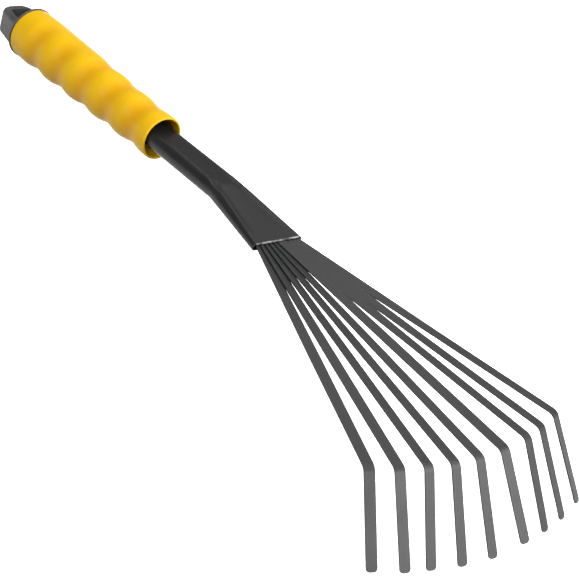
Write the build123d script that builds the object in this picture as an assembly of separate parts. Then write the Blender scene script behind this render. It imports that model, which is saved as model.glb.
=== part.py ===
from build123d import *
import os
from math import cos, degrees, radians, sin, tan

# Fan rake for the hand: nine sprung steel strips held in the flattened end of a steel tube,
# a moulded grip sleeve over the tube and a hang cap plugged into its end.
# Millimetres. +X runs from the cap to the tine tips, +Z is up, and the rake is level
# across Y. It is built round the centre of the tube's mouth, then moved so that it lies
# on z = 0, on its tips and the rim of its cap, with the origin under its middle.

# Tines
TINE_COUNT = 9
STRIP_WIDTH = 6.3
STRIP_THICKNESS = 0.85
REACH = 178.5               # mouth to tip bend, along the middle tine
REACH_DROP = 0.27           # how much sooner a tine bends, times its number from the middle squared
ROOT_PITCH = 3.2            # side by side spacing at the mouth
ROOT_DEPTH = 8.0            # length held inside the mouth
SPLAY_STEP = 4.80           # degrees between neighbours outside the mouth, parallel inside it
ROOT_TURN = 1.5             # each side of the mouth, over which a strip turns outwards
LAP_ROLL = 16.1             # degrees that a strip is rolled at the mouth to lap over its neighbour
UNROLL_LENGTH = 95.0        # mouth to where it lies flat
TOP_TINE = 6                # laps over both its neighbours: the others lap towards it
TOP_RISE = 0.87             # how much higher it leaves the mouth
TIP_ANGLE = 49.2            # degrees that the tip turns down
TIP_LENGTH = 51.8           # from the bend's corner to the end
TIP_BEND_RADIUS = 6.0
TIP_CORNER_RADIUS = 2.2

# Unevenness left by setting the tines by hand, one value for each tine from -Y to +Y
SPLAY_TRIM = (0.3, 0.1, 0.0, -0.3, -0.6, -0.2, 0.8, 0.0, 0.0)
TIP_ANGLE_TRIM = (-2.0, -1.0, 1.5, 1.0, 0.0, -2.5, 0.5, 0.5, 0.5)
TIP_LENGTH_TRIM = (-0.5, 0.0, 0.0, 0.5, 0.5, -1.0, 0.0, 0.5, 0.5)

# Tube
TUBE_DIAMETER = 18.0
TUBE_WALL = 0.8
MOUTH_WIDTH = 36.4
MOUTH_HEIGHT = 4.7
NECK_LENGTH = 49.8          # mouth to kink
NECK_START_WIDTH = 24.0
NECK_START_HEIGHT = 9.4
KINK_ANGLE = 7.0            # degrees between the neck and the handle
OVAL_LENGTH = 61.0          # kink to grip
OVAL_WIDTH = 22.4
OVAL_HEIGHT = 10.0
ROUNDING_LENGTH = 24.0      # from the oval back to round, hidden in the grip
ROUND_FLAT = 0.2            # flat left on top and bottom of the round stretch

# Grip sleeve: distance from its mouth, then radius
GRIP_LENGTH = 138.0
GRIP_OUTLINE = ((0.0, 13.9), (31.0, 14.5), (79.0, 15.6), (121.0, 16.3), (138.0, 16.0))
GRIP_POCKET_DIAMETER = 23.4
GRIP_POCKET_DEPTH = 26.0
SCALLOP_COUNT = 5
SCALLOP_PITCH = 24.4
SCALLOP_FIRST = 16.9        # grip mouth to the middle of the first scallop
SCALLOP_DEPTH = 1.4
SCALLOP_RADIUS = 22.0
SCALLOP_OFFSET = 0.9        # shifts each scallop under the hand, so that it fades towards the top

# Hang cap: lengths run back from the butt of the grip
CAP_FLANGE_DIAMETER = 33.0
CAP_FLANGE_THICKNESS = 1.4
CAP_LENGTH = 24.5
CAP_ROOT_WIDTH = 28.2
CAP_ROOT_HEIGHT = 17.0
CAP_END_WIDTH = 18.8
CAP_END_HEIGHT = 16.2
CAP_END_CORNER_RADIUS = 8.6
CAP_EDGE_RADIUS = 3.0
SLOT_FAR_WIDTH = 12.4
SLOT_NEAR_WIDTH = 18.0
SLOT_LENGTH = 12.4
SLOT_FAR_WALL = 7.0         # from the slot to the cap's end
SLOT_CORNER_RADIUS = 2.4
PLUG_LENGTH = 26.0
PLUG_RIB_COUNT = 3
PLUG_RIB_PITCH = 6.0
PLUG_RIB_WIDTH = 1.6
PLUG_CLEARANCE = 0.4
PLUG_LEAD_IN = 1.5

# Weld metal round the tine roots
WELD_RECESS = 2.6           # set back inside the mouth
WELD_DEPTH = 6.0

MIDDLE_TINE = (TINE_COUNT + 1) // 2
KINK = Vector(-NECK_LENGTH, 0, 0)
BACK = Vector(-cos(radians(KINK_ANGLE)), 0, -sin(radians(KINK_ANGLE)))
GRIP_MOUTH = KINK + BACK * OVAL_LENGTH
GRIP_BUTT = GRIP_MOUTH + BACK * GRIP_LENGTH


def handle_plane(origin):
    """A plane across the handle whose normal runs towards the butt."""
    return Plane(origin=origin, x_dir=(0, 1, 0), z_dir=BACK)


def oval(plane, width, height):
    """A flattened-tube section: straight top and bottom with half-round sides."""
    return plane * SlotOverall(width, height)


def strip_path(tine):
    """A tine's splay, tip angle, reach and tip length."""
    side = tine - MIDDLE_TINE
    splay = side * SPLAY_STEP + SPLAY_TRIM[tine - 1]
    tip_angle = TIP_ANGLE + TIP_ANGLE_TRIM[tine - 1]
    reach = REACH - REACH_DROP * side * side
    tip_length = TIP_LENGTH + TIP_LENGTH_TRIM[tine - 1]
    return splay, tip_angle, reach, tip_length


def bent_tip(start, tip_angle, tip_length):
    """The bend and the tip below it, from where the bend starts, with the end's corners rounded."""
    half = STRIP_THICKNESS / 2
    tangent = TIP_BEND_RADIUS * tan(radians(tip_angle / 2))
    along_tip = Vector(cos(radians(tip_angle)), 0, -sin(radians(tip_angle)))
    across_tip = Vector(sin(radians(tip_angle)), 0, cos(radians(tip_angle)))
    with BuildPart() as tip:
        centre = Vector(start, 0, -TIP_BEND_RADIUS)
        with BuildSketch(Plane(origin=centre, x_dir=(1, 0, 0), z_dir=(0, -1, 0))):
            with BuildLine():
                outer = CenterArc((0, 0), TIP_BEND_RADIUS + half, 90 - tip_angle, tip_angle)
                inner = CenterArc((0, 0), TIP_BEND_RADIUS - half, 90 - tip_angle, tip_angle)
                Line(outer @ 0, inner @ 0)
                Line(outer @ 1, inner @ 1)
            make_face()
        extrude(amount=STRIP_WIDTH / 2, both=True)
        below = Vector(start + tangent, 0, 0) + along_tip * tangent
        with BuildSketch(Plane(origin=below, x_dir=along_tip, z_dir=across_tip)):
            straight = tip_length - tangent
            with Locations((straight / 2, 0)):
                outline = Rectangle(straight, STRIP_WIDTH)
            end_corners = outline.vertices().sort_by(Axis(origin=below, direction=along_tip))[-2:]
            fillet(end_corners, TIP_CORNER_RADIUS)
        extrude(amount=half, both=True)
    return tip.part


def section(place, roll):
    """The strip's section across a place's X axis, rolled about it."""
    across = Plane(place * Rotation(roll, 0, 0) * Rotation(0, 90, 0))
    return across * Rectangle(STRIP_THICKNESS, STRIP_WIDTH)


def tine(number):
    """One tine, lapped over its neighbour in the mouth, rolling flat on its way to the bend."""
    splay, tip_angle, reach, tip_length = strip_path(number)
    side = number - MIDDLE_TINE
    rise = TOP_RISE if number == TOP_TINE else 0.0
    roll = LAP_ROLL * (number > TOP_TINE) - LAP_ROLL * (number < TOP_TINE)
    mouth = Pos(0, side * ROOT_PITCH, rise)
    free = mouth * Rotation(0, 0, splay) * Rotation(0, degrees(rise / REACH), 0)
    bend_start = reach - TIP_BEND_RADIUS * tan(radians(tip_angle / 2))
    run = loft([
        section(mouth * Pos(-ROOT_DEPTH, 0, 0), roll),
        section(mouth * Pos(-ROOT_TURN, 0, 0), roll),
        section(free * Pos(ROOT_TURN, 0, 0), roll * (1 - ROOT_TURN / UNROLL_LENGTH)),
        section(free * Pos(UNROLL_LENGTH, 0, 0), 0),
        section(free * Pos(bend_start, 0, 0), 0),
    ], ruled=True)
    return run + free * bent_tip(bend_start, tip_angle, tip_length)


def tube_shape(grow):
    """The tube's outside, moved in or out by grow: mouth, neck, kink, oval, then round."""
    double = 2 * grow
    mouth_plane = Plane(origin=(max(-grow, 0), 0, 0), x_dir=(0, 1, 0), z_dir=(-1, 0, 0))
    kink_plane = Plane(origin=KINK, x_dir=(0, 1, 0), z_dir=(BACK + Vector(-1, 0, 0)).normalized())
    neck = loft([
        oval(mouth_plane, MOUTH_WIDTH + double, MOUTH_HEIGHT + double),
        oval(kink_plane, NECK_START_WIDTH + double, NECK_START_HEIGHT + double),
    ], ruled=True)
    oval_run = loft([
        oval(kink_plane, NECK_START_WIDTH + double, NECK_START_HEIGHT + double),
        oval(handle_plane(GRIP_MOUTH), OVAL_WIDTH + double, OVAL_HEIGHT + double),
    ], ruled=True)
    round_start = GRIP_MOUTH + BACK * ROUNDING_LENGTH
    round_width = TUBE_DIAMETER + ROUND_FLAT + double
    rounding = loft([
        oval(handle_plane(GRIP_MOUTH), OVAL_WIDTH + double, OVAL_HEIGHT + double),
        oval(handle_plane(round_start), round_width, TUBE_DIAMETER + double),
    ], ruled=True)
    run = GRIP_LENGTH - ROUNDING_LENGTH + max(-grow, 0)
    round_run = extrude(oval(handle_plane(round_start), round_width, TUBE_DIAMETER + double), run, dir=BACK)
    return neck + oval_run + rounding + round_run


def tube():
    """The whole tube, hollow from mouth to butt."""
    return tube_shape(0) - tube_shape(-TUBE_WALL)


def grip_sleeve():
    """A sleeve that swells towards the butt, scalloped under the fingers, with a wide pocket."""
    with BuildPart() as turned:
        with BuildSketch(Plane.XZ):
            with BuildLine():
                outline = Spline([(radius, along) for along, radius in GRIP_OUTLINE])
                Polyline(outline @ 0, (0, 0), (0, GRIP_LENGTH), outline @ 1)
            make_face()
        revolve(axis=Axis.Z)
    body = handle_plane(GRIP_MOUTH) * turned.part
    for index in range(SCALLOP_COUNT):
        along = SCALLOP_FIRST + index * SCALLOP_PITCH
        share = along / GRIP_LENGTH
        radius = GRIP_OUTLINE[0][1] + (GRIP_OUTLINE[-1][1] - GRIP_OUTLINE[0][1]) * share
        ring = radius + SCALLOP_RADIUS - SCALLOP_DEPTH + SCALLOP_OFFSET
        centre = GRIP_MOUTH + BACK * along + Vector(0, 0, SCALLOP_OFFSET)
        body -= handle_plane(centre) * Torus(ring, SCALLOP_RADIUS)
    body -= handle_plane(GRIP_MOUTH) * Pos(0, 0, GRIP_POCKET_DEPTH / 2) * Cylinder(
        GRIP_POCKET_DIAMETER / 2, GRIP_POCKET_DEPTH)
    bore = oval(handle_plane(GRIP_MOUTH), TUBE_DIAMETER + ROUND_FLAT, TUBE_DIAMETER)
    return body - extrude(bore, GRIP_LENGTH, dir=BACK)


def cap_plane(distance):
    """A plane across the cap, this far behind the grip's butt."""
    return handle_plane(GRIP_BUTT + BACK * distance)


def cap_end():
    """The cap's tapered end, flat on top and bottom, with a slot to hang the rake by."""
    end = loft([
        cap_plane(CAP_FLANGE_THICKNESS) * Rectangle(CAP_ROOT_WIDTH, CAP_ROOT_HEIGHT),
        cap_plane(CAP_LENGTH) * Rectangle(CAP_END_WIDTH, CAP_END_HEIGHT),
    ], ruled=True)
    upright = end.faces().sort_by(Axis(origin=GRIP_BUTT, direction=BACK))[-1].edges().filter_by(
        lambda edge: abs(edge.tangent_at(0).Y) < 0.5)
    end = fillet(upright, CAP_END_CORNER_RADIUS)
    top_and_bottom = end.faces().filter_by(lambda face: abs(face.normal_at().Z) > 0.9)
    outside = [edge for face in top_and_bottom for edge in face.edges()]
    root_distance = GRIP_LENGTH + CAP_FLANGE_THICKNESS
    outside = [edge for edge in outside if (edge.center() - GRIP_MOUTH).dot(BACK) > root_distance + 0.5]
    end = fillet(outside, CAP_EDGE_RADIUS)
    near = CAP_LENGTH - SLOT_FAR_WALL - SLOT_LENGTH
    far = CAP_LENGTH - SLOT_FAR_WALL
    slot_plane = Plane(origin=GRIP_BUTT, x_dir=BACK, z_dir=(-BACK.Z, 0, BACK.X))
    corners = [(near, -SLOT_NEAR_WIDTH / 2), (far, -SLOT_FAR_WIDTH / 2), (far, SLOT_FAR_WIDTH / 2),
               (near, SLOT_NEAR_WIDTH / 2)]
    outline = Polygon(corners, align=None)
    slot = slot_plane * fillet(outline.vertices(), SLOT_CORNER_RADIUS)
    return end - extrude(slot, CAP_ROOT_HEIGHT, both=True)


def cap_plug():
    """The ribbed plug that grips the inside of the tube."""
    bore_radius = TUBE_DIAMETER / 2 - TUBE_WALL
    plug = cap_plane(-PLUG_LENGTH / 2) * Cylinder(bore_radius - PLUG_CLEARANCE, PLUG_LENGTH)
    for index in range(PLUG_RIB_COUNT):
        plug += cap_plane(-PLUG_RIB_PITCH * (index + 1)) * Cylinder(bore_radius, PLUG_RIB_WIDTH)
    return chamfer(plug.faces().sort_by(Axis(origin=GRIP_BUTT, direction=BACK))[0].edges(), PLUG_LEAD_IN)


def hang_cap():
    """A flange over the grip's butt, the end with its hang slot, and the plug."""
    flange = cap_plane(CAP_FLANGE_THICKNESS / 2) * Cylinder(CAP_FLANGE_DIAMETER / 2, CAP_FLANGE_THICKNESS)
    flange = fillet(flange.edges(), CAP_FLANGE_THICKNESS * 0.4)
    return flange + cap_end() + cap_plug()


def root_weld(tines):
    """Weld metal that fills the space round the tine roots, set back inside the mouth."""
    block = Pos(-WELD_RECESS - WELD_DEPTH / 2, 0, 0) * Box(WELD_DEPTH, MOUTH_WIDTH, MOUTH_HEIGHT)
    weld = block & tube_shape(-TUBE_WALL)
    for strip in tines:
        weld -= strip
    return weld


def build():
    """Every sub-part by node name, in its resting place."""
    tines = [tine(number) for number in range(1, TINE_COUNT + 1)]
    nodes = {f"tine_{number}": strip for number, strip in enumerate(tines, 1)}
    nodes["tube"] = tube()
    nodes["root_weld"] = root_weld(tines)
    nodes["grip_sleeve"] = grip_sleeve()
    nodes["hang_cap"] = hang_cap()
    box = Compound(children=[solid for node in nodes.values() for solid in node.solids()]).bounding_box()
    rest = Pos(-box.center().X, -box.center().Y, -box.min.Z)
    return {name: rest * node for name, node in nodes.items()}


os.makedirs("parts", exist_ok=True)
for node_name, node_shape in build().items():
    export_step(node_shape, f"parts/{node_name}.step")
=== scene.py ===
import math

import bmesh
import bpy
from bpy.props import FloatProperty, FloatVectorProperty, IntProperty, PointerProperty
from mathutils import Matrix, Vector


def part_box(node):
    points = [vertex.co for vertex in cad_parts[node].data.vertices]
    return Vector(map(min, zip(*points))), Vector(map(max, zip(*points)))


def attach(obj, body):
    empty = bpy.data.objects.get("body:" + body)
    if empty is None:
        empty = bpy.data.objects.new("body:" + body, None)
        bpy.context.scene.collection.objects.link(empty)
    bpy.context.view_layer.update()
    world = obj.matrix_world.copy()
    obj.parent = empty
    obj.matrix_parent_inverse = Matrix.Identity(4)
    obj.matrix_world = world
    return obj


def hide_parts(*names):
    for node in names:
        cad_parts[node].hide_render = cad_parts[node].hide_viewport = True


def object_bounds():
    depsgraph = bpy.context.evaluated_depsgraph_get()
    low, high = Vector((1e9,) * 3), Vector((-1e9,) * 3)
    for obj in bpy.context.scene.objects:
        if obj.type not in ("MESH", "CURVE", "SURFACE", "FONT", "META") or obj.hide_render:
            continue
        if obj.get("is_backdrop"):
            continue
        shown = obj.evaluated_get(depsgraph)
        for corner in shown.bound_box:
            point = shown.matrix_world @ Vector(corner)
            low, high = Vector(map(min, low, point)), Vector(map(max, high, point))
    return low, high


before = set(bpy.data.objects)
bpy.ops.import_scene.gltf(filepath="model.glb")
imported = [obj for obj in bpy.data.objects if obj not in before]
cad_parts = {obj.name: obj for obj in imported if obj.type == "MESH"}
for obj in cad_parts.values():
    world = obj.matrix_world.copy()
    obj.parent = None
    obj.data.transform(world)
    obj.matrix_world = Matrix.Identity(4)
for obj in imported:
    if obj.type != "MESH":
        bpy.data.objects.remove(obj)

bl_info = {
    "name": "Hand Fan Rake",
    "version": (1, 0, 0),
    "blender": (4, 5, 0),
    "location": "3D View > Sidebar > Rake",
    "description": "Builds the visible pieces of a nine-tine hand rake on its CAD frame",
    "category": "Add Mesh",
}

MM = 0.001
SIDEWAYS = Vector((0, 1, 0))
TINES = 9


# ---------------------------------------------------------------- settings

def length(name, description, default):
    """A length in metres for a settings group."""
    return FloatProperty(name=name, description=description, default=default, unit="LENGTH", precision=5)


def angle(name, description, degrees):
    """An angle for a settings group."""
    return FloatProperty(name=name, description=description, default=math.radians(degrees), subtype="ANGLE")


def amount(name, description, default):
    """A plain number for a settings group."""
    return FloatProperty(name=name, description=description, default=default)


def colour(name, description, default):
    """A linear colour for a settings group."""
    return FloatVectorProperty(name=name, description=description, default=default, size=4, subtype="COLOR",
                               min=0, max=1)


def per_tine(name, description, values):
    """One number for each tine from -Y to +Y."""
    return FloatVectorProperty(name=name, description=description, default=values, size=TINES)


class TineSettings(bpy.types.PropertyGroup):
    """Sizes and finish of the nine sprung strips."""
    width: length("Width", "Across the strip", 0.0063)
    thickness: length("Thickness", "Through the strip", 0.00085)
    edge_radius: length("Edge Radius", "Rounding along the strip's four edges", 0.00022)
    corner_radius: length("Corner Radius", "Rounding of the two corners at the tip", 0.0022)
    reach: length("Reach", "Mouth to tip bend along the middle tine", 0.1785)
    reach_drop: length("Reach Drop", "Shortening times the square of the number from the middle", 0.00027)
    root_pitch: length("Root Pitch", "Side by side spacing at the mouth", 0.0032)
    root_depth: length("Root Depth", "Length held inside the mouth", 0.008)
    splay: angle("Splay", "Between neighbours outside the mouth", 4.80)
    roll: angle("Lap Roll", "How far a strip is rolled at the mouth to lap over its neighbour", 16.1)
    unroll: length("Unroll Length", "Mouth to where a strip lies flat", 0.095)
    top_rise: length("Top Rise", "How much higher the top tine leaves the mouth", 0.00087)
    tip_angle: angle("Tip Angle", "How far the tip turns down", 49.2)
    tip_length: length("Tip Length", "From the bend's corner to the end", 0.0518)
    bend_radius: length("Bend Radius", "Middle of the strip at the tip bend", 0.006)
    root_radius: length("Root Radius", "Middle of the strip where it leaves the mouth", 0.009)
    rows: IntProperty(name="Rows", description="Rows of points while a strip rolls flat", default=16)
    splay_trim: per_tine("Splay Trim", "Degrees added to each splay",
                         (0.3, 0.1, 0, -0.3, -0.6, -0.2, 0.8, 0, 0))
    angle_trim: per_tine("Tip Angle Trim", "Degrees added to each tip angle",
                         (-2, -1, 1.5, 1, 0, -2.5, 0.5, 0.5, 0.5))
    length_trim: per_tine("Tip Length Trim", "Millimetres added to each tip",
                          (-0.5, 0, 0, 0.5, 0.5, -1, 0, 0.5, 0.5))
    swing: per_tine("Tip Swing", "Degrees that each tip is twisted sideways",
                    (4.4, 3.7, -1.9, -1.6, 0, 2.2, -2.4, -1.1, -1.7))
    lean: per_tine("Lean", "Degrees that each strip is rolled at its bend",
                   (6.5, 2.2, -6.2, -5.2, 0, 9.8, -1.8, -1.3, -1.6))
    tip_lean: per_tine("Tip Lean", "Degrees that each tip is rolled", (11, 8, 0, 1.5, 3, 11, -4, -5, -6))
    paint: colour("Paint", "Powder coat on the tines", (0.021, 0.021, 0.022, 1))
    paler_edge: colour("Paler Edge Paint", "Where the coat is thin on edges", (0.10, 0.10, 0.103, 1))
    # Painted shade for the strips' narrow sides; the coat's pits take this colour too.
    cut: colour("Side Shade And Pits", "The strips' narrow sides", (0.006, 0.006, 0.0065, 1))


class TubeSettings(bpy.types.PropertyGroup):
    """Sizes and finish of the flattened tube."""
    diameter: length("Diameter", "Round stretch inside the grip", 0.018)
    wall: length("Wall", "Thickness of the tube's wall", 0.0008)
    mouth_width: length("Mouth Width", "Across the flattened end", 0.0364)
    mouth_height: length("Mouth Height", "Through the flattened end", 0.0047)
    neck_length: length("Neck Length", "Mouth to kink", 0.0498)
    neck_width: length("Neck Width", "Across the tube at the kink", 0.024)
    neck_height: length("Neck Height", "Through the tube at the kink", 0.0094)
    kink: angle("Kink", "Between the neck and the handle", 7.0)
    oval_length: length("Oval Length", "Kink to grip", 0.061)
    oval_width: length("Oval Width", "Across the tube at the grip", 0.0224)
    oval_height: length("Oval Height", "Through the tube at the grip", 0.010)
    rounding: length("Rounding Length", "From oval back to round", 0.024)
    kink_run: length("Kink Run", "Half the length over which the kink turns", 0.0016)
    sink: length("Sink", "How far the pressed flats lie below their side beads", 0.0004)
    dent: length("Dent", "Depth of the press marks on the shoulders at the kink", 0.0011)
    paint: colour("Paint", "Powder coat on the tube", (0.012, 0.012, 0.0124, 1))
    # A paler colour laid along the top of the mouth's lip.
    paler_edge: colour("Paler Edge Paint", "Paler along the top of the lip", (0.42, 0.42, 0.42, 1))
    pit: colour("Pits", "Small flaws in the coat", (0.01, 0.01, 0.01, 1))


class GripSettings(bpy.types.PropertyGroup):
    """Sizes and finish of the moulded sleeve."""
    length: length("Length", "Mouth to butt", 0.138)
    pocket_radius: length("Pocket Radius", "Wide start of the bore", 0.0117)
    pocket_depth: length("Pocket Depth", "Length of the wide start", 0.026)
    flare: length("Flare", "How much wider the bore is at the rim", 0.0007)
    flare_depth: length("Flare Depth", "Rim to where the bore is straight", 0.006)
    rim_radius: length("Rim Radius", "Rounding of the mouth's rim", 0.0009)
    butt_radius: length("Butt Radius", "Rounding of the butt's edge", 0.0008)
    groove_first: length("First Groove", "Mouth to the first finger groove", 0.0168)
    groove_pitch: length("Groove Pitch", "Between finger grooves", 0.0244)
    groove_width: length("Groove Width", "Half the width of a groove", 0.0115)
    groove_depth: length("Groove Depth", "Depth under the fingers", 0.0015)
    groove_turn: angle("Groove Turn", "From +Y round to where the grooves are shallowest", 20)
    plastic: colour("Plastic", "Yellow of the sleeve", (0.73, 0.43, 0.003, 1))
    # Painted shade: the darker yellow laid into the finger grooves.
    groove_shade: colour("Groove Shade Plastic", "Yellow in the hollows", (0.60, 0.25, 0.0, 1))


class CapSettings(bpy.types.PropertyGroup):
    """Finish of the hang cap."""
    plastic: colour("Plastic", "Grey of the cap", (0.042, 0.043, 0.044, 1))
    dusty: colour("Dusty Plastic", "Lighter rubbed patches", (0.068, 0.069, 0.070, 1))
    seam: colour("Seam", "Grey of the parting line", (0.012, 0.012, 0.013, 1))
    seam_width: length("Seam Width", "Half the width of the mould's parting line", 0.00022)


class StageSettings(bpy.types.PropertyGroup):
    """Camera and floor."""
    azimuth: angle("Azimuth", "Round from looking along +Y", 38.41)
    elevation: angle("Elevation", "Above the floor", 33.05)
    roll: angle("Roll", "Of the camera about its view", 23.02)
    distance: length("Distance", "Camera to the point it looks at", 1.13)
    ahead: length("Ahead", "From the middle of the rake to that point, towards the tines", 0.0495)
    lens: amount("Lens", "Focal length in millimetres", 127.02)
    floor: colour("Floor", "Pale studio floor", (0.9, 0.9, 0.9, 1))


SETTINGS = {
    "rake_tines": TineSettings,
    "rake_tube": TubeSettings,
    "rake_grip": GripSettings,
    "rake_cap": CapSettings,
    "rake_stage": StageSettings,
}


# ---------------------------------------------------------------- where things are

def mouth_centre():
    """The middle of the tube's flattened mouth."""
    low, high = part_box("tube")
    weld_low, weld_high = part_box("root_weld")
    return Vector((high.x, (low.y + high.y) / 2, (weld_low.z + weld_high.z) / 2))


def along_tube(distance, tube):
    """The tube's centre this far back from its mouth, and the directions back and up there."""
    start = tube.neck_length - tube.kink_run
    turned = min(max((distance - start) / (2 * tube.kink_run), 0), 1) * tube.kink
    bend = 2 * tube.kink_run / tube.kink
    centre = Vector((-min(distance, start) - bend * math.sin(turned), 0, -bend * (1 - math.cos(turned))))
    back = Vector((-math.cos(turned), 0, -math.sin(turned)))
    centre += back * max(distance - start - 2 * tube.kink_run, 0)
    up = Vector((-math.sin(turned), 0, math.cos(turned)))
    return mouth_centre() + centre, back, up


def blend(low, high, share):
    """A smooth step from low to high as share goes from 0 to 1."""
    share = min(max(share, 0), 1)
    return low + (high - low) * share * share * (3 - 2 * share)


def through(points, at):
    """A smooth curve through (position, value) points, read at a position."""
    index = max(i for i in range(len(points) - 1) if i == 0 or points[i][0] <= at)
    (left, first), (right, last) = points[index], points[index + 1]
    before = points[max(index - 1, 0)]
    after = points[min(index + 2, len(points) - 1)]
    step = right - left
    rise = (last - before[1]) / max(right - before[0], 1e-9) * step
    fall = (after[1] - first) / max(after[0] - left, 1e-9) * step
    t = (at - left) / step
    return (first * (2 * t**3 - 3 * t**2 + 1) + rise * (t**3 - 2 * t**2 + t)
            + last * (3 * t**2 - 2 * t**3) + fall * (t**3 - t**2))


# ---------------------------------------------------------------- meshes and nodes

def shell(name, rings, marks):
    """A closed shell from rings of points: out along the outside and back along the inside."""
    around = len(rings[0])
    points = [point for ring in rings for point in ring]
    faces = []
    for row in range(len(rings)):
        ahead = (row + 1) % len(rings)
        near, far = row * around, ahead * around
        for step in range(around):
            beside = (step + 1) % around
            faces.append((near + step, near + beside, far + beside, far + step))
    mesh = bpy.data.meshes.new(name)
    mesh.from_pydata(points, [], faces)
    for mark, values in marks.items():
        mesh.attributes.new(mark, "FLOAT", "POINT").data.foreach_set("value", values)
    work = bmesh.new()
    work.from_mesh(mesh)
    bmesh.ops.recalc_face_normals(work, faces=work.faces)
    work.to_mesh(mesh)
    work.free()
    mesh.shade_smooth()
    piece = bpy.data.objects.new(name, mesh)
    bpy.context.collection.objects.link(piece)
    return piece


def add(tree, kind, inputs=None, **settings):
    """A new node with its settings; each input is a plain value or another node's output."""
    made = tree.nodes.new(kind)
    for name, value in settings.items():
        setattr(made, name, value)
    for key, value in (inputs or {}).items():
        if isinstance(key, int):
            socket = made.inputs[key]
        else:
            socket = next(s for s in made.inputs if s.identifier == key or s.name == key)
        if isinstance(value, bpy.types.NodeSocket):
            tree.links.new(value, socket)
        else:
            socket.default_value = value
    return made


def maths(tree, operation, *values):
    """The output of a maths node."""
    return add(tree, "ShaderNodeMath", dict(enumerate(values)), operation=operation).outputs[0]


def vector_maths(tree, operation, *values):
    """The first working output of a vector maths node."""
    made = add(tree, "ShaderNodeVectorMath", dict(enumerate(values)), operation=operation)
    return made.outputs["Value" if operation == "DOT_PRODUCT" else "Vector"]


def spread(tree, value, low, high, to_low=0.0, to_high=1.0):
    """A value mapped from one range to another and clamped."""
    ranges = {"Value": value, "From Min": low, "From Max": high, "To Min": to_low, "To Max": to_high}
    return add(tree, "ShaderNodeMapRange", ranges).outputs["Result"]


def tint(tree, share, first, second):
    """A colour between two others."""
    inputs = {"Factor_Float": share, "A_Color": first, "B_Color": second}
    return add(tree, "ShaderNodeMix", inputs, data_type="RGBA").outputs[2]


def noise(tree, where, scale, detail=3.0):
    """A noise value between about 0.3 and 0.7."""
    inputs = {"Vector": where, "Scale": scale, "Detail": detail}
    return add(tree, "ShaderNodeTexNoise", inputs).outputs["Fac"]


def effect(name, inputs, outputs):
    """An empty shader node group with these named numbers in and these named numbers out."""
    tree = bpy.data.node_groups.new(name, "ShaderNodeTree")
    for title, value in inputs.items():
        tree.interface.new_socket(title, in_out="INPUT", socket_type="NodeSocketFloat").default_value = value
    for title in outputs:
        tree.interface.new_socket(title, in_out="OUTPUT", socket_type="NodeSocketFloat")
    return tree, add(tree, "NodeGroupInput").outputs


def powder_grain():
    """Orange-peel of a powder coat: its height, a mottle and sparse dark pits."""
    tree, given = effect("Powder Grain", {"Grain Scale": 1100.0, "Mottle Scale": 70.0, "Pit Scale": 260.0},
                         ("Height", "Mottle", "Pits"))
    where = add(tree, "ShaderNodeTexCoord").outputs["Object"]
    fine = noise(tree, where, given["Grain Scale"], 2.0)
    mottle = spread(tree, noise(tree, where, given["Mottle Scale"], 4.0), 0.32, 0.68)
    cells = add(tree, "ShaderNodeTexVoronoi", {"Vector": where, "Scale": given["Pit Scale"]})
    drawn = add(tree, "ShaderNodeSeparateColor", {"Color": cells.outputs["Color"]}).outputs[0]
    chosen = maths(tree, "GREATER_THAN", drawn, 0.93)
    near = spread(tree, cells.outputs["Distance"], 0.10, 0.2, 1.0, 0.0)
    pits = maths(tree, "MULTIPLY", chosen, near)
    height = maths(tree, "SUBTRACT", fine, pits)
    add(tree, "NodeGroupOutput", {"Height": height, "Mottle": mottle, "Pits": pits})
    return tree


def broken_edge_mask():
    """A mask that follows an edge value and breaks up along it."""
    tree, given = effect("Broken Edge Mask", {"Edge": 0.0, "Reach": 0.5, "Break Scale": 320.0}, ("Edge Share",))
    where = add(tree, "ShaderNodeTexCoord").outputs["Object"]
    broken = spread(tree, noise(tree, where, given["Break Scale"], 5.0), 0.38, 0.62, 0.12, 1.0)
    start = maths(tree, "SUBTRACT", 1.0, given["Reach"])
    mask = maths(tree, "MULTIPLY", spread(tree, given["Edge"], start, 1.0), broken)
    add(tree, "NodeGroupOutput", {"Edge Share": mask})
    return tree


def moulded_skin():
    """The skin of moulded plastic: fine texture, slow unevenness and small scuffs."""
    tree, given = effect("Moulded Skin", {"Skin Scale": 1500.0, "Cloud Scale": 38.0, "Scuff Scale": 420.0},
                         ("Height", "Clouds", "Scuffs"))
    where = add(tree, "ShaderNodeTexCoord").outputs["Object"]
    skin = noise(tree, where, given["Skin Scale"], 2.0)
    clouds = spread(tree, noise(tree, where, given["Cloud Scale"], 3.0), 0.3, 0.7)
    stretched = add(tree, "ShaderNodeMapping", {"Vector": where, "Scale": (0.25, 1.0, 1.0)}).outputs[0]
    scuffs = spread(tree, noise(tree, stretched, given["Scuff Scale"], 6.0), 0.62, 0.74)
    add(tree, "NodeGroupOutput", {"Height": skin, "Clouds": clouds, "Scuffs": scuffs})
    return tree


EFFECTS = {"Powder Grain": powder_grain, "Broken Edge Mask": broken_edge_mask, "Moulded Skin": moulded_skin}


def group(tree, name, inputs=None):
    """A shared effect placed in a material, and built the first time that it is wanted."""
    placed = tree.nodes.new("ShaderNodeGroup")
    placed.node_tree = bpy.data.node_groups.get(name) or EFFECTS[name]()
    for title, value in (inputs or {}).items():
        if isinstance(value, bpy.types.NodeSocket):
            tree.links.new(value, placed.inputs[title])
        else:
            placed.inputs[title].default_value = value
    return placed.outputs


def material(name, finish):
    """A new node material and its shader, whose own sockets hold what is the same all over."""
    made = bpy.data.materials.new(name)
    made.use_nodes = True
    shader = made.node_tree.nodes["Principled BSDF"]
    for socket, value in finish.items():
        shader.inputs[socket].default_value = value
    return made, made.node_tree, shader


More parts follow.
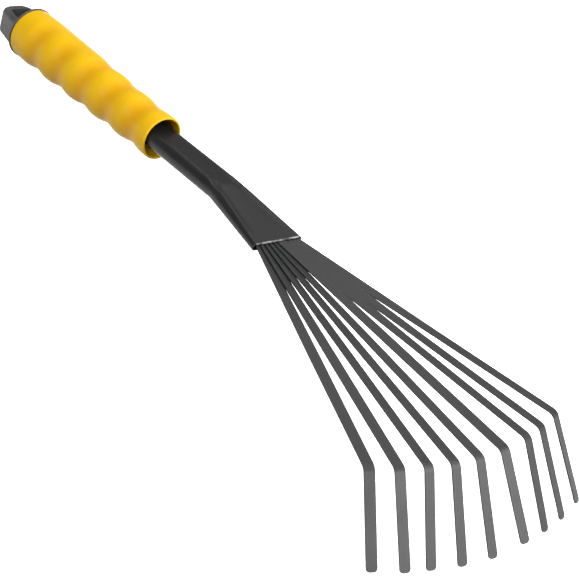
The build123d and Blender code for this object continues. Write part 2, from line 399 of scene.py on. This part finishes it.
def darker(paint, share):
    """A paint with this share of its lightness."""
    return (paint[0] * share, paint[1] * share, paint[2] * share, 1)


def attribute(tree, name):
    """A number stored on the mesh."""
    return add(tree, "ShaderNodeAttribute", attribute_name=name).outputs["Fac"]


def bump(tree, shader, height, strength, distance):
    """Bends the shader's normal by a height."""
    inputs = {"Height": height, "Strength": strength, "Distance": distance}
    tree.links.new(add(tree, "ShaderNodeBump", inputs).outputs["Normal"], shader.inputs["Normal"])


def tine_paint(tines):
    """Powder coat over spring steel, rubbed along its edges and tips, with painted shade on the narrow sides.
    """
    made, tree, shader = material("Tine Paint", {"Specular IOR Level": 0.42})
    skin = group(tree, "Powder Grain")
    side = attribute(tree, "side")
    edge = maths(tree, "MULTIPLY", maths(tree, "MULTIPLY", side, maths(tree, "SUBTRACT", 1.0, side)), 4.0)
    tip = spread(tree, attribute(tree, "to_end"), 0.0, 0.004, 1.0, 0.0)
    edge = maths(tree, "MAXIMUM", edge, maths(tree, "MULTIPLY", tip, 0.75))
    paler_share = group(tree, "Broken Edge Mask", {"Edge": edge})["Edge Share"]
    face = tint(tree, skin["Mottle"], darker(tines.paint, 0.8), tuple(tines.paint))
    # Painted shade: the strips' narrow sides are darkened.
    face = tint(tree, spread(tree, side, 0.55, 1.0), face, tuple(tines.cut))
    face = tint(tree, maths(tree, "MULTIPLY", paler_share, 0.55), face, tuple(tines.paler_edge))
    face = tint(tree, maths(tree, "MULTIPLY", skin["Pits"], 0.8), face, tuple(tines.cut))
    tree.links.new(face, shader.inputs["Base Color"])
    tree.links.new(spread(tree, skin["Mottle"], 0, 1, 0.38, 0.47), shader.inputs["Roughness"])
    bump(tree, shader, skin["Height"], 0.22, 0.0003)
    return made


def tube_paint(tube):
    """Powder coat over the tube, made paler along the top of the mouth's lip."""
    made, tree, shader = material("Tube Paint", {"Specular IOR Level": 0.27})
    skin = group(tree, "Powder Grain", {"Grain Scale": 900.0, "Mottle Scale": 45.0})
    lip = attribute(tree, "lip")
    paler_share = group(tree, "Broken Edge Mask", {"Edge": lip, "Reach": 0.6, "Break Scale": 260.0})["Edge Share"]
    face = tint(tree, skin["Mottle"], darker(tube.paint, 0.8), tuple(tube.paint))
    # The top of the mouth's lip is made paler.
    face = tint(tree, paler_share, face, tuple(tube.paler_edge))
    face = tint(tree, maths(tree, "MULTIPLY", skin["Pits"], 0.7), face, tuple(tube.pit))
    tree.links.new(face, shader.inputs["Base Color"])
    tree.links.new(spread(tree, skin["Mottle"], 0, 1, 0.29, 0.36), shader.inputs["Roughness"])
    bump(tree, shader, skin["Height"], 0.3, 0.0003)
    return made


def weld_paint(tube):
    """Lumpy weld metal under the same coat."""
    made, tree, shader = material("Weld Paint", {"Specular IOR Level": 0.4, "Roughness": 0.6})
    skin = group(tree, "Powder Grain", {"Grain Scale": 600.0, "Mottle Scale": 300.0})
    face = tint(tree, skin["Mottle"], darker(tube.paint, 0.35), tuple(tube.paint))
    tree.links.new(face, shader.inputs["Base Color"])
    bump(tree, shader, skin["Mottle"], 0.8, 0.0008)
    return made


def grip_plastic(grip):
    """Satin yellow plastic with painted shade in the finger grooves, and light scuffs."""
    finish = {"Specular IOR Level": 0.17, "Subsurface Weight": 0.12, "Subsurface Scale": 0.002}
    made, tree, shader = material("Grip Plastic", finish)
    skin = group(tree, "Moulded Skin")
    hollow = spread(tree, attribute(tree, "hollow"), 0.1, 1.0)
    clouded = (grip.plastic[0] * 0.95, grip.plastic[1] * 0.93, grip.plastic[2], 1)
    face = tint(tree, skin["Clouds"], clouded, tuple(grip.plastic))
    # Painted shade in the finger grooves, strongest where they are deepest.
    face = tint(tree, maths(tree, "MULTIPLY", hollow, 0.55), face, tuple(grip.groove_shade))
    tree.links.new(face, shader.inputs["Base Color"])
    scuffed = maths(tree, "MULTIPLY", skin["Scuffs"], 0.12)
    rough = maths(tree, "ADD", spread(tree, skin["Clouds"], 0, 1, 0.34, 0.42), scuffed)
    tree.links.new(rough, shader.inputs["Roughness"])
    bump(tree, shader, skin["Height"], 0.12, 0.0002)
    return made


def cap_plastic(cap, tube):
    """Matte grey plastic with the mould's parting line at mid height."""
    made, tree, shader = material("Cap Plastic", {"Specular IOR Level": 0.45})
    skin = group(tree, "Moulded Skin", {"Cloud Scale": 160.0, "Skin Scale": 1100.0})
    centre, _, up = along_tube(tube.neck_length + tube.oval_length, tube)
    where = add(tree, "ShaderNodeTexCoord").outputs["Object"]
    height = maths(tree, "SUBTRACT", vector_maths(tree, "DOT_PRODUCT", where, up), centre.dot(up))
    seam = spread(tree, maths(tree, "ABSOLUTE", height), cap.seam_width * 0.4, cap.seam_width * 1.6, 1.0, 0.0)
    face = tint(tree, skin["Clouds"], tuple(cap.plastic), tuple(cap.dusty))
    face = tint(tree, maths(tree, "MULTIPLY", seam, 0.8), face, tuple(cap.seam))
    tree.links.new(face, shader.inputs["Base Color"])
    tree.links.new(spread(tree, skin["Clouds"], 0, 1, 0.46, 0.58), shader.inputs["Roughness"])
    relief = maths(tree, "SUBTRACT", maths(tree, "MULTIPLY", skin["Height"], 0.25), seam)
    bump(tree, shader, relief, 0.5, 0.0003)
    return made


# ---------------------------------------------------------------- tines

MIDDLE_TINE = 4
TOP_TINE = 5
TIP_STEPS = 7
BEND_POINTS = 14
EDGE_POINTS = 4


def strip_tree():
    """The node tree that sweeps a flat strip along a path and rounds the corners of its end."""
    tree = bpy.data.node_groups.new("Strip Along Path", "GeometryNodeTree")
    tree.interface.new_socket("Geometry", in_out="INPUT", socket_type="NodeSocketGeometry")
    for title in ("Width", "Thickness", "Edge Radius", "Corner Radius"):
        tree.interface.new_socket(title, in_out="INPUT", socket_type="NodeSocketFloat")
    tree.interface.new_socket("Material", in_out="INPUT", socket_type="NodeSocketMaterial")
    tree.interface.new_socket("Geometry", in_out="OUTPUT", socket_type="NodeSocketGeometry")
    given = add(tree, "NodeGroupInput").outputs

    def stored(name, kind):
        read = add(tree, "GeometryNodeInputNamedAttribute", {"Name": name}, data_type=kind)
        return read.outputs["Attribute"]

    def store(geometry, name, value, kind):
        inputs = {"Geometry": geometry, "Name": name, "Value": value}
        return add(tree, "GeometryNodeStoreNamedAttribute", inputs, data_type=kind).outputs[0]

    path = add(tree, "GeometryNodeMeshToCurve", {"Mesh": given["Geometry"]}).outputs[0]
    turns = {"Curve": path, "Radius": stored("turn_radius", "FLOAT"), "Count": BEND_POINTS}
    path = add(tree, "GeometryNodeFilletCurve", turns, mode="POLY").outputs[0]
    path = add(tree, "GeometryNodeSetCurveNormal", {"Curve": path}, mode="Z_UP").outputs[0]
    path = add(tree, "GeometryNodeSetCurveTilt", {"Curve": path, "Tilt": stored("roll", "FLOAT")}).outputs[0]
    path = store(path, "spine", add(tree, "GeometryNodeInputPosition").outputs[0], "FLOAT_VECTOR")
    path = store(path, "sideways", add(tree, "GeometryNodeInputNormal").outputs[0], "FLOAT_VECTOR")
    outline = add(tree, "GeometryNodeCurvePrimitiveQuadrilateral",
                  {"Width": given["Width"], "Height": given["Thickness"]}).outputs[0]
    corners = {"Curve": outline, "Radius": given["Edge Radius"], "Count": EDGE_POINTS}
    outline = add(tree, "GeometryNodeFilletCurve", corners, mode="POLY").outputs[0]
    swept = {"Curve": path, "Profile Curve": outline, "Fill Caps": True}
    strip = add(tree, "GeometryNodeCurveToMesh", swept).outputs[0]
    position = add(tree, "GeometryNodeInputPosition").outputs[0]
    sideways = stored("sideways", "FLOAT_VECTOR")
    from_spine = vector_maths(tree, "SUBTRACT", position, stored("spine", "FLOAT_VECTOR"))
    across = vector_maths(tree, "DOT_PRODUCT", from_spine, sideways)
    half = maths(tree, "MULTIPLY", given["Width"], 0.5)
    flat_half = maths(tree, "SUBTRACT", half, given["Edge Radius"])
    side = spread(tree, maths(tree, "ABSOLUTE", across), flat_half, half)
    strip = store(strip, "side", side, "FLOAT")
    corner = given["Corner Radius"]
    rest = maths(tree, "SUBTRACT", corner, maths(tree, "MINIMUM", stored("to_end", "FLOAT"), corner))
    whole, left = maths(tree, "MULTIPLY", corner, corner), maths(tree, "MULTIPLY", rest, rest)
    squared = maths(tree, "MAXIMUM", maths(tree, "SUBTRACT", whole, left), 0.0)
    inset = maths(tree, "SUBTRACT", corner, maths(tree, "SQRT", squared))
    pull = maths(tree, "MULTIPLY", maths(tree, "DIVIDE", inset, half), maths(tree, "MULTIPLY", across, -1.0))
    drawn_in = {0: sideways, "Scale": pull}
    offset = add(tree, "ShaderNodeVectorMath", drawn_in, operation="SCALE").outputs["Vector"]
    strip = add(tree, "GeometryNodeSetPosition", {"Geometry": strip, "Offset": offset}).outputs[0]
    strip = add(tree, "GeometryNodeSetShadeSmooth", {"Geometry": strip}).outputs[0]
    strip = add(tree, "GeometryNodeRealizeInstances", {"Geometry": strip}).outputs[0]
    painted = {"Geometry": strip, "Material": given["Material"]}
    strip = add(tree, "GeometryNodeSetMaterial", painted).outputs[0]
    add(tree, "NodeGroupOutput", {"Geometry": strip})
    return tree


def tine_path(index, tines):
    """Rows along one tine's middle line: point, turn radius, roll and distance to the end."""
    side = index - MIDDLE_TINE
    rise = tines.top_rise if index == TOP_TINE else 0.0
    roll = tines.roll * ((index > TOP_TINE) - (index < TOP_TINE))
    lean, tip_lean = math.radians(tines.lean[index]), math.radians(tines.tip_lean[index])
    splay = side * tines.splay + math.radians(tines.splay_trim[index])
    reach = tines.reach - tines.reach_drop * side * side
    down = tines.tip_angle + math.radians(tines.angle_trim[index])
    tip = tines.tip_length + tines.length_trim[index] * MM
    dip = rise / tines.reach
    start = mouth_centre() + Vector((0, side * tines.root_pitch, rise))
    ahead = Vector((math.cos(dip) * math.cos(splay), math.cos(dip) * math.sin(splay), -math.sin(dip)))
    root = start - Vector((tines.root_depth, 0, 0))
    turned = splay + math.radians(tines.swing[index])
    steep = down + dip
    along = Vector((math.cos(steep) * math.cos(turned), math.cos(steep) * math.sin(turned), -math.sin(steep)))
    rows = [(root, 0.0, roll), (start, tines.root_radius, roll)]
    for step in range(1, tines.rows + 1):
        share = step / tines.rows
        rows.append((start + ahead * tines.unroll * share, 0.0, roll * (1 - share) + lean * share))
    corner = start + ahead * reach
    rows.append((corner, tines.bend_radius, (lean + tip_lean) / 2))
    for step in range(TIP_STEPS + 1):
        short = tines.corner_radius * (1 - math.sin(math.pi / 2 * step / TIP_STEPS))
        rows.append((corner + along * (tip - short), 0.0, tip_lean))
    return [(point, radius, rolled, (rows[-1][0] - point).length) for point, radius, rolled in rows]


def make_tine(index, tines, tree, paint):
    """One tine, swept along its path and turned into a plain mesh."""
    name = f"tine_{index + 1}"
    points, *marks = zip(*tine_path(index, tines))
    path = bpy.data.meshes.new(f"{name}_path")
    path.from_pydata(points, [(i, i + 1) for i in range(len(points) - 1)], [])
    for mark, values in zip(("turn_radius", "roll", "to_end"), marks):
        path.attributes.new(mark, "FLOAT", "POINT").data.foreach_set("value", values)
    carrier = bpy.data.objects.new(f"{name}_path", path)
    bpy.context.collection.objects.link(carrier)
    sweep = carrier.modifiers.new("Strip", "NODES")
    sweep.node_group = tree
    wanted = {"Width": tines.width, "Thickness": tines.thickness, "Edge Radius": tines.edge_radius,
              "Corner Radius": tines.corner_radius, "Material": paint}
    for item in tree.interface.items_tree:
        if item.in_out == "INPUT" and item.name in wanted:
            sweep[item.identifier] = wanted[item.name]
    graph = bpy.context.evaluated_depsgraph_get()
    mesh = bpy.data.meshes.new_from_object(carrier.evaluated_get(graph), depsgraph=graph)
    bpy.data.objects.remove(carrier)
    if len(mesh.polygons) < 100:
        raise RuntimeError(f"the sweep for {name} came out empty")
    mesh.name = f"{name}_mesh"
    piece = bpy.data.objects.new(f"{name}_strip", mesh)
    bpy.context.collection.objects.link(piece)
    piece.modifiers.new("Even Shading", "WEIGHTED_NORMAL").keep_sharp = False
    return piece


class RAKE_OT_tines(bpy.types.Operator):
    """Sweep the nine tines and stand them in for their CAD strips"""
    bl_idname = "rake.tines"
    bl_label = "Make Tines"

    def execute(self, context):
        tines = context.scene.rake_tines
        tree = strip_tree()
        paint = tine_paint(tines)
        for index in range(TINES):
            piece = make_tine(index, tines, tree, paint)
            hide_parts(f"tine_{index + 1}")
            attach(piece, "root")
        return {"FINISHED"}


# ---------------------------------------------------------------- tube

ARC_STEPS = 26
FLAT_STEPS = 24
BEAD = 2.2  # how much further the flats sink close to their side beads
MOUTH_SINK, GRIP_SINK = 0.12, 0.45  # shares of the sink that are left at each end
DENT_WIDTH, DENT_LENGTH = 0.0022, 0.0042
LIP_SHARE = 0.16  # of the wall, rounded off at the lip
PALER_LIP = 0.0011  # from the lip back to the plain coat
FINE_SPACE, FINE_GROWTH, FINE_RINGS = 0.0006, 1.22, 14  # ring spacing from the lip
FAR_SPACE, KINK_SPACE, KINK_REACH, LAST_SPACE = 0.0026, 0.0009, 0.011, 0.003
TIGHT_FIT = 0.1 * MM  # between the tube and the grip's bore


def flattened(width, height, sink, inset):
    """A flattened-tube section from +Y over the top and back, with beads beside its sunken flats."""
    width, height = width - 2 * inset, height - 2 * inset
    radius = height / 2
    reach = max((width - height) / 2, 1e-6)
    points = []
    for step in range(ARC_STEPS):
        turn = math.pi * (step / ARC_STEPS - 0.5)
        points.append((reach + radius * math.cos(turn), radius * math.sin(turn)))
    for step in range(FLAT_STEPS):
        share = 1 - 2 * step / FLAT_STEPS
        points.append((reach * share, radius - sink * (1 - share**4) * (1 + BEAD * share**4)))
    points += [(-across, -above) for across, above in points]
    return points


def tube_size(distance, tube):
    """Width, height and sink of the tube this far back from its mouth."""
    grip = tube.neck_length + tube.oval_length
    if distance < tube.neck_length:
        share = distance / tube.neck_length
        width = tube.mouth_width + (tube.neck_width - tube.mouth_width) * share
        height = tube.mouth_height + (tube.neck_height - tube.mouth_height) * share
        return width, height, tube.sink * blend(MOUTH_SINK, 1.0, share * 1.6)
    if distance < grip:
        share = (distance - tube.neck_length) / tube.oval_length
        width = tube.neck_width + (tube.oval_width - tube.neck_width) * share
        height = tube.neck_height + (tube.oval_height - tube.neck_height) * share
        return width, height, tube.sink * blend(1.0, GRIP_SINK, share)
    share = (distance - grip) / tube.rounding
    width = blend(tube.oval_width, tube.diameter + 2 * TIGHT_FIT, share)
    height = blend(tube.oval_height, tube.diameter, share)
    return width, height, tube.sink * blend(GRIP_SINK, 0.0, share)


def tube_ring(distance, inset, tube):
    """The points of one ring round the tube, with the press marks beside the kink."""
    centre, _, up = along_tube(distance, tube)
    width, height, sink = tube_size(distance, tube)
    shoulder = (width - height) / 2
    ring = []
    for across, above in flattened(width, height, sink, inset):
        from_shoulder = (abs(across) - shoulder) / DENT_WIDTH
        from_kink = (distance - tube.neck_length) / DENT_LENGTH
        mark = math.exp(-from_shoulder**2 - from_kink**2) if above > 0 else 0.0
        ring.append(centre + SIDEWAYS * across + up * (above - tube.dent * mark))
    return ring


def tube_stations(total, tube):
    """Distance from the mouth and depth into the wall of each ring, out along the tube and back inside."""
    stops = [0.0]
    for step in range(FINE_RINGS):
        stops.append(stops[-1] + FINE_SPACE * FINE_GROWTH**step)
    while stops[-1] < total - LAST_SPACE:
        near_kink = abs(stops[-1] - tube.neck_length) < KINK_REACH
        stops.append(stops[-1] + (KINK_SPACE if near_kink else FAR_SPACE))
    stops = stops[1:] + [total]
    lip = tube.wall * LIP_SHARE
    rounded = ((0.0, lip), (lip * 0.3, lip * 0.3), (lip, 0.0))
    outside = [*rounded, *((stop, 0.0) for stop in stops)]
    return outside + [(distance, tube.wall - inset) for distance, inset in reversed(outside)]


class RAKE_OT_tube(bpy.types.Operator):
    """Build the flattened tube and coat the weld inside its mouth"""
    bl_idname = "rake.tube"
    bl_label = "Make Tube"

    def execute(self, context):
        tube, grip = context.scene.rake_tube, context.scene.rake_grip
        stations = tube_stations(tube.neck_length + tube.oval_length + grip.length, tube)
        rings = [tube_ring(distance, inset, tube) for distance, inset in stations]
        lip = tube.wall * LIP_SHARE
        on_top = [ARC_STEPS <= step <= ARC_STEPS + FLAT_STEPS for step in range(len(rings[0]))]
        # Share of the paler colour on top of the lip, fading back from the lip.
        paler_edge = [blend(1.0, 0.0, (distance - lip) / PALER_LIP) * top
                for distance, _ in stations for top in on_top]
        piece = shell("tube_shell", rings, {"lip": paler_edge})
        piece.data.materials.append(tube_paint(tube))
        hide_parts("tube")
        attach(piece, "root")
        finish = weld_paint(tube)
        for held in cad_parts["root_weld"].material_slots:
            held.material = finish
        return {"FINISHED"}


# ---------------------------------------------------------------- grip

GRIP_OUTLINE = ((0.0, 0.0139), (0.031, 0.0145), (0.079, 0.0156), (0.121, 0.0163), (0.138, 0.0160))
GROOVES = 5
FRONT_GROOVES = 3  # these go right round
SHALLOW = 0.6  # share of the depth that a front groove keeps where it is shallowest
AROUND = 192
ALONG = 260
ROUND_STEPS = 5


def groove_depth(distance, turn, grip):
    """How deep the finger grooves are here; the rear ones fade out on the +Y side."""
    deepest = 0.0
    for index in range(GROOVES):
        away = (distance - grip.groove_first - index * grip.groove_pitch) / grip.groove_width
        if abs(away) < 1:
            shape = math.cos(away * math.pi / 2) ** 2
            under = 0.5 - 0.5 * math.cos(turn - grip.groove_turn)
            least = SHALLOW if index < FRONT_GROOVES else 0.0
            share = least + (1 - least) * blend(0, 1, under * 1.25)
            deepest = max(deepest, grip.groove_depth * shape * share)
    return deepest


def sleeve_outside(grip):
    """Distance from the mouth and depth of the edges' rounding, along the outside of the sleeve."""
    rim, butt, full = grip.rim_radius, grip.butt_radius, grip.length
    turns = [math.pi / 2 * step / ROUND_STEPS for step in range(ROUND_STEPS + 1)]
    stations = [(rim * (1 - math.cos(turn)), rim * (1 - math.sin(turn))) for turn in turns]
    stations += [(rim + (full - rim - butt) * step / ALONG, 0.0) for step in range(1, ALONG)]
    stations += [(full - butt * (1 - math.sin(turn)), butt * (1 - math.cos(turn))) for turn in turns]
    return stations


def sleeve_inside(grip, tube):
    """Distance from the mouth and radius, from the butt back through the bore and the pocket to the rim."""
    bore, pocket, depth = tube.diameter / 2 + TIGHT_FIT, grip.pocket_radius, grip.pocket_depth
    stations = [(grip.length, bore), (grip.length * 0.6, bore), (depth + MM, bore), (depth, bore + 0.4 * MM)]
    stations += [(depth - 0.2 * MM, pocket - 0.6 * MM), (depth - 0.9 * MM, pocket)]
    stations += [(depth * share, pocket) for share in (0.8, 0.6, 0.4)]
    small, steps = grip.rim_radius * 0.5, 6
    for step in range(steps + 1):
        share = step / steps
        distance = grip.flare_depth + (small - grip.flare_depth) * share
        stations.append((distance, pocket + grip.flare * share**1.5))
    for turn in (math.pi / 6, math.pi / 3, math.pi / 2):
        radius = pocket + grip.flare + small * (1 - math.cos(turn))
        stations.append((small * (1 - math.sin(turn)), radius))
    return stations


def grip_rings(grip, tube):
    """Rings out along the sleeve's outside and back down its bore and pocket, with hollow values."""
    axis_start, back, up = along_tube(tube.neck_length + tube.oval_length, tube)
    turns = [2 * math.pi * step / AROUND for step in range(AROUND)]
    spokes = [SIDEWAYS * math.cos(turn) + up * math.sin(turn) for turn in turns]
    rings, hollows = [], []
    for distance, rounded in sleeve_outside(grip):
        centre, outline = axis_start + back * distance, through(GRIP_OUTLINE, distance) - rounded
        depths = [groove_depth(distance, turn, grip) for turn in turns]
        rings.append([centre + spoke * (outline - depth) for spoke, depth in zip(spokes, depths)])
        hollows += [depth / grip.groove_depth for depth in depths]
    for distance, radius in sleeve_inside(grip, tube):
        rings.append([axis_start + back * distance + spoke * radius for spoke in spokes])
        hollows += [0.0] * AROUND
    return rings, hollows


class RAKE_OT_grip(bpy.types.Operator):
    """Build the scalloped sleeve over the end of the tube"""
    bl_idname = "rake.grip"
    bl_label = "Make Grip"

    def execute(self, context):
        grip, tube = context.scene.rake_grip, context.scene.rake_tube
        rings, hollows = grip_rings(grip, tube)
        piece = shell("grip_shell", rings, {"hollow": hollows})
        piece.data.materials.append(grip_plastic(grip))
        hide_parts("grip_sleeve")
        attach(piece, "root")
        return {"FINISHED"}


# ---------------------------------------------------------------- cap

class RAKE_OT_cap(bpy.types.Operator):
    """Give the hang cap its moulded finish"""
    bl_idname = "rake.cap"
    bl_label = "Finish Cap"

    def execute(self, context):
        finish = cap_plastic(context.scene.rake_cap, context.scene.rake_tube)
        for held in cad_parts["hang_cap"].material_slots:
            held.material = finish
        return {"FINISHED"}


# ---------------------------------------------------------------- stage

LIT_POINT = Vector((0.02, 0, 0.02))
LAMPS = (  # name, direction from the lit point, distance, size and power
    ("Front Right Softbox", Vector((0.77, 0.36, 0.50)), 1.8, (2.3, 0.95), 41),
    ("Left Softbox", Vector((-0.10, -0.86, 0.50)), 2.2, (2.0, 1.5), 24),
    ("Overhead", Vector((0.0, -0.15, 0.99)), 1.9, (1.8, 1.8), 22),
    ("Back Right Softbox", Vector((-0.40, 0.55, 0.72)), 2.0, (1.6, 0.8), 6),
    ("Strip Light", Vector((0.33, 0.60, 0.73)), 2.0, (1.8, 0.22), 9),
)
FLOOR_HALF = 6.0
FLOOR_BOUNCE = (0.28, 0.28, 0.28, 1)
MIRRORED_GLOW = 0.45
DIM_SKY = (0.25, 0.25, 0.255, 1)
WHITE = (1, 1, 1, 1)


def lamp(name, place, aim, size, power):
    """A soft rectangular light that points at a place."""
    data = bpy.data.lights.new(name, "AREA")
    data.shape = "RECTANGLE"
    data.size, data.size_y = size
    data.energy = power
    made = bpy.data.objects.new(name, data)
    facing = (aim - place).to_track_quat("-Z", "Y").to_matrix().to_4x4()
    made.matrix_world = Matrix.Translation(place) @ facing
    bpy.context.collection.objects.link(made)


def add_floor(stage):
    """A pale floor that glows plain white to the camera and bounces less light than it shows."""
    mesh = bpy.data.meshes.new("floor")
    corners = [(x * FLOOR_HALF, y * FLOOR_HALF, 0) for x, y in ((-1, -1), (1, -1), (1, 1), (-1, 1))]
    mesh.from_pydata(corners, [], [(0, 1, 2, 3)])
    floor = bpy.data.objects.new("floor", mesh)
    bpy.context.collection.objects.link(floor)
    made, tree, shader = material("Floor", {"Roughness": 0.9, "Specular IOR Level": 0.0})
    path = add(tree, "ShaderNodeLightPath").outputs
    seen = maths(tree, "MAXIMUM", path["Is Camera Ray"], path["Is Glossy Ray"])
    tree.links.new(tint(tree, seen, FLOOR_BOUNCE, tuple(stage.floor)), shader.inputs["Base Color"])
    shader.inputs["Emission Color"].default_value = WHITE
    mirrored = maths(tree, "MULTIPLY", path["Is Glossy Ray"], MIRRORED_GLOW)
    glow = maths(tree, "MAXIMUM", path["Is Camera Ray"], mirrored)
    tree.links.new(glow, shader.inputs["Emission Strength"])
    mesh.materials.append(made)
    floor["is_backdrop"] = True


def add_world():
    """White to the camera and dim grey for lighting."""
    world = bpy.data.worlds.new("Studio")
    bpy.context.scene.world = world
    world.use_nodes = True
    tree = world.node_tree
    backdrop = tree.nodes["Background"]
    seen = add(tree, "ShaderNodeLightPath").outputs["Is Camera Ray"]
    tree.links.new(tint(tree, seen, DIM_SKY, WHITE), backdrop.inputs["Color"])


def add_camera(stage):
    """The camera, looking down along the rake from beyond its tines."""
    low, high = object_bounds()
    target = (low + high) / 2 + Vector((stage.ahead, 0, 0))
    turn, rise = stage.azimuth, stage.elevation
    back = Vector((math.sin(turn) * math.cos(rise), -math.cos(turn) * math.cos(rise), math.sin(rise)))
    right = Vector((math.cos(turn), math.sin(turn), 0))
    up = back.cross(right)
    rolled_right = right * math.cos(stage.roll) + up * math.sin(stage.roll)
    rolled_up = back.cross(rolled_right)
    data = bpy.data.cameras.new("Camera")
    data.lens = stage.lens
    data.sensor_width = 36.0
    camera = bpy.data.objects.new("Camera", data)
    facing = Matrix((rolled_right, rolled_up, back)).transposed().to_4x4()
    camera.matrix_world = Matrix.Translation(target + back * stage.distance) @ facing
    bpy.context.collection.objects.link(camera)
    bpy.context.scene.camera = camera


class RAKE_OT_stage(bpy.types.Operator):
    """Set the floor, the lights and the camera"""
    bl_idname = "rake.stage"
    bl_label = "Set Stage"

    def execute(self, context):
        stage = context.scene.rake_stage
        add_camera(stage)
        add_floor(stage)
        add_world()
        for name, direction, distance, size, power in LAMPS:
            lamp(name, LIT_POINT + direction * distance, LIT_POINT, size, power)
        context.scene.view_settings.view_transform = "Standard"
        return {"FINISHED"}


# ---------------------------------------------------------------- panel and run

OPERATORS = (RAKE_OT_tines, RAKE_OT_tube, RAKE_OT_grip, RAKE_OT_cap, RAKE_OT_stage)


class RAKE_PT_panel(bpy.types.Panel):
    """Lists the rake's operators and settings"""
    bl_label = "Hand Fan Rake"
    bl_idname = "RAKE_PT_panel"
    bl_space_type = "VIEW_3D"
    bl_region_type = "UI"
    bl_category = "Rake"

    def draw(self, context):
        for operator in OPERATORS:
            self.layout.operator(operator.bl_idname)
        for name in SETTINGS:
            box = self.layout.box()
            for key in SETTINGS[name].__annotations__:
                box.prop(getattr(context.scene, name), key)


def register():
    """Registers every class and hangs the settings on the scene."""
    for kind in (*SETTINGS.values(), *OPERATORS, RAKE_PT_panel):
        bpy.utils.register_class(kind)
    for name, kind in SETTINGS.items():
        setattr(bpy.types.Scene, name, PointerProperty(type=kind))


def unregister():
    """Takes the settings and classes away again."""
    for name in SETTINGS:
        delattr(bpy.types.Scene, name)
    for kind in reversed((*SETTINGS.values(), *OPERATORS, RAKE_PT_panel)):
        bpy.utils.unregister_class(kind)


def main():
    """Builds every piece and the stage."""
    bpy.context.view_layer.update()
    register()
    bpy.ops.rake.tines()
    bpy.ops.rake.tube()
    bpy.ops.rake.grip()
    bpy.ops.rake.cap()
    bpy.ops.rake.stage()


if __name__ == "__main__":
    main()
